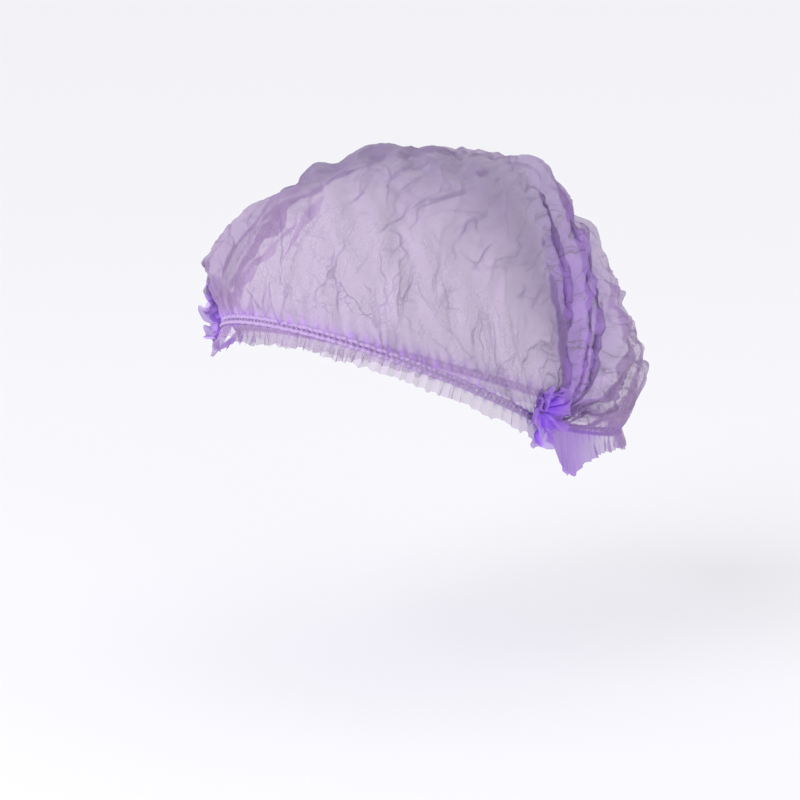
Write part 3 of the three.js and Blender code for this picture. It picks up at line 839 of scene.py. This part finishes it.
def yarn(name, light, dark, roughness, fineness):
    """Soft yarn: two near shades in fine fibres, with a fuzzy relief."""
    material = bpy.data.materials.new(name)
    material.use_nodes = True
    tree = material.node_tree
    shader = tree.nodes["Principled BSDF"]
    shader.inputs["Roughness"].default_value = roughness
    shader.inputs["Sheen Weight"].default_value = 0.2
    place = tree.nodes.new("ShaderNodeTexCoord")
    fibre = tree.nodes.new("ShaderNodeTexNoise")
    fibre.inputs["Scale"].default_value = fineness
    fibre.inputs["Detail"].default_value = 4
    tree.links.new(place.outputs["Object"], fibre.inputs["Vector"])
    shades = tree.nodes.new("ShaderNodeMix")
    shades.data_type = "RGBA"
    shades.inputs["A"].default_value = dark
    shades.inputs["B"].default_value = light
    tree.links.new(fibre.outputs["Fac"], shades.inputs["Factor"])
    tree.links.new(shades.outputs["Result"], shader.inputs["Base Color"])
    fuzz = tree.nodes.new("ShaderNodeBump")
    fuzz.inputs["Strength"].default_value = 0.5
    fuzz.inputs["Distance"].default_value = 0.0002
    tree.links.new(fibre.outputs["Fac"], fuzz.inputs["Height"])
    tree.links.new(fuzz.outputs["Normal"], shader.inputs["Normal"])
    return material


covered = yarn(
    "covered_elastic", light=(0.46, 0.32, 0.58, 1), dark=(0.30, 0.20, 0.43, 1), roughness=0.6, fineness=1400)
stitch = yarn(
    "sewing_thread", light=(0.44, 0.30, 0.58, 1), dark=(0.30, 0.19, 0.46, 1), roughness=0.7, fineness=2600)

for side, frill in FRILLS.items():
    seam = seam_line(frill["over"], frill["flare"], *THREAD_ENDS, count=THREAD_STEPS)
    pucker = 0.00018 * np.sin(2 * math.pi * seam["run"] / STITCH_PITCH)
    wavy = 0.00022 * np.sin(2 * math.pi * uneven_phase(seam["run"], frill["seed"]))
    threads = []
    for place in (-1, 1):
        path = (
            seam["point"]
            + seam["down"] * (place * (THREADS_APART / 2 + wavy * 0.5))[:, None]
            + seam["out"] * (frill["thread_out"] + pucker * place + wavy)[:, None])
        threads.append(tube(path, seam["out"], THREAD_WIDTH / 2, THREAD_HALF_THICK, sides=8))
    elastic = solid_piece(side + "_elastic_threads", threads)
    elastic.data.materials.append(covered)
    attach(elastic, "root")
    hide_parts(side + "_elastic")
    stitches = []
    for middle in np.arange(STITCH_PITCH, seam["run"][-1] - STITCH_PITCH, STITCH_PITCH):
        runs = middle + np.array([-0.5, -0.3, 0.3, 0.5]) * STITCH_LENGTH
        rows = [np.stack([np.interp(runs, seam["run"], seam[key][:, c]) for c in range(3)], 1)
                for key in ("point", "down", "out")]
        slant = np.array([-1, -0.6, 0.6, 1])[:, None] * STITCH_SLANT
        path = rows[0] + rows[1] * slant + rows[2] * 0.95 * frill["thread_out"]
        taper = np.array([0.35, 1, 1, 0.35]) * STITCH_HALF_THICK
        stitches.append(tube(path, rows[2], taper[:, None], taper[:, None], sides=6))
    sewing = solid_piece(side + "_stitches", stitches)
    sewing.data.materials.append(stitch)
    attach(sewing, "root")
    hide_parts(side + "_elastic")

# Tufts. The two welded ends of the sheet stand out at the sides as crumpled rosettes of pleats, many
# layers deep and darkest in the middle. A few pleats open into larger flaps.
TUFTS = {
    "left": {"sign": 1, "across": 176, "turns": 1.5, "reach": 0.0095, "stand": 0.007,
             "lean": 0.0, "tilt": 24, "pleats": 7, "seed": 21, "depth": 1.0, "shift": [0.006, 0.005, -0.002],
             "flaps": [[0, 1.2], [50, 1.3], [80, 0.9], [120, 1.4], [160, 0.9], [210, 1.2],
                       [265, 1.9], [300, 1.7], [335, 1.3]]},
    "right": {"sign": -1, "across": 4, "turns": 1.5, "reach": 0.011, "stand": 0.012,
              "lean": 0.45, "tilt": 0, "pleats": 7, "seed": 22, "depth": 0.7, "shift": [0.0, 0.003, 0.0],
              "flaps": [[0, 0.8], [60, 1.3], [90, 1.6], [125, 1.4], [170, 0.8], [230, 0.7],
                        [275, 1.2], [310, 0.8]]},
}
TUFT_RINGS = 26
STEPS_PER_TURN = 360
TUFT_CENTRE = 0.0003
RIM_STEPS = 60
FLAT_PER_RADIAN = 0.008
FLAT_PER_REACH = 1.3
VIVID_LILAC = (0.43, 0.165, 0.97, 1)
bunched = nonwoven("bunched_nonwoven", sheer=0.50, dense=0.97, deep=VIVID_LILAC)
for side, tuft in TUFTS.items():
    draw = np.random.default_rng(tuft["seed"])
    count = int(tuft["turns"] * STEPS_PER_TURN)
    turn = np.linspace(0, tuft["turns"] * 2 * math.pi, count)
    rim = on_cap(np.full(RIM_STEPS, float(tuft["across"])), np.linspace(0, BACK_SEAM, RIM_STEPS))
    tilt = math.radians(tuft["tilt"])
    outward = AXIS * tuft["sign"] * math.cos(tilt) + FRONT * math.sin(tilt)
    forward = FRONT * math.cos(tilt) - AXIS * tuft["sign"] * math.sin(tilt)
    root = MIDDLE + AXIS * ((rim - MIDDLE) @ AXIS).mean() + FRONT * tuft["shift"][0] + UP * tuft["shift"][1]
    root = root + outward * tuft["shift"][2]
    flap_at, flap_size = np.array(tuft["flaps"], float).T
    flap_at = np.concatenate([flap_at - 360, flap_at, flap_at + 360])
    size = np.interp(np.degrees(turn) % 360, flap_at, np.tile(flap_size, 3))
    phase = tuft["pleats"] * turn + 0.5 * ridges(turn, np.zeros(count), 2.0, 1, 10, tuft["seed"])
    rings = []
    for r in np.linspace(0, 1, TUFT_RINGS):
        radius = (TUFT_CENTRE + tuft["reach"] * size * r) * (1 + 0.10 * np.sin(phase * 0.5 + 2 * r))
        ripple = 0.0026 * r ** 0.8 * np.sin(phase + 1.5 * r)
        standing = tuft["stand"] * (1.6 * r - 0.9 * r * r) - 0.004 * (1 - r) + 0.0015 * turn / (2 * math.pi)
        ruffle = 0.0012 * r * ridges(turn, np.full(count, r), 0.9, 1.2, 12, tuft["seed"] + 3)
        standing = standing * (1 + tuft["lean"] * np.sin(turn)) + ripple + ruffle
        angle = turn + 0.16 * r * np.sin(2 * phase)
        rings.append(
            root + outward * standing[:, None]
            + forward * (radius * np.cos(angle))[:, None]
            + UP * (radius * np.sin(angle))[:, None])
    points = np.stack(rings, 1)
    arc, spoke = np.meshgrid(turn * tuft["reach"], np.linspace(0, tuft["reach"], TUFT_RINGS), indexing="ij")
    dents = facets(arc, spoke, wide=0.0042, long=0.0045, seed=tuft["seed"] + 5) * np.sqrt(spoke / tuft["reach"])
    slips = facets(arc, spoke, wide=0.0050, long=0.0040, seed=tuft["seed"] + 9) * np.sqrt(spoke / tuft["reach"])
    pushed_out = (0.0020 * dents)[..., None] * outward
    points = points + pushed_out + (0.0014 * slips)[..., None] * grid_normals(points)
    flat_out = np.linspace(0, tuft["reach"] * FLAT_PER_REACH, TUFT_RINGS)
    flat = np.stack(np.meshgrid(turn * FLAT_PER_RADIAN, flat_out, indexing="ij"), -1)
    ring_share = np.broadcast_to(np.linspace(0, 1, TUFT_RINGS), points.shape[:2])
    tucked = np.clip(0.5 - 0.5 * np.sin(phase), 0, 1)[:, None]
    gathered = np.clip(1.15 - 0.8 * ring_share + 0.25 * tucked, 0, 1) * tuft["depth"]
    # Painted shade in the tucks of each rosette.
    piece = sheet_mesh(side + "_tuft_cloth", points, flat, {
        "crease_and_painted_shade": np.broadcast_to(0.12 * tucked, points.shape[:2]), "gathered": gathered})
    piece.data.materials.append(bunched)
    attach(piece, "root")
    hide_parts(side + "_tuft")
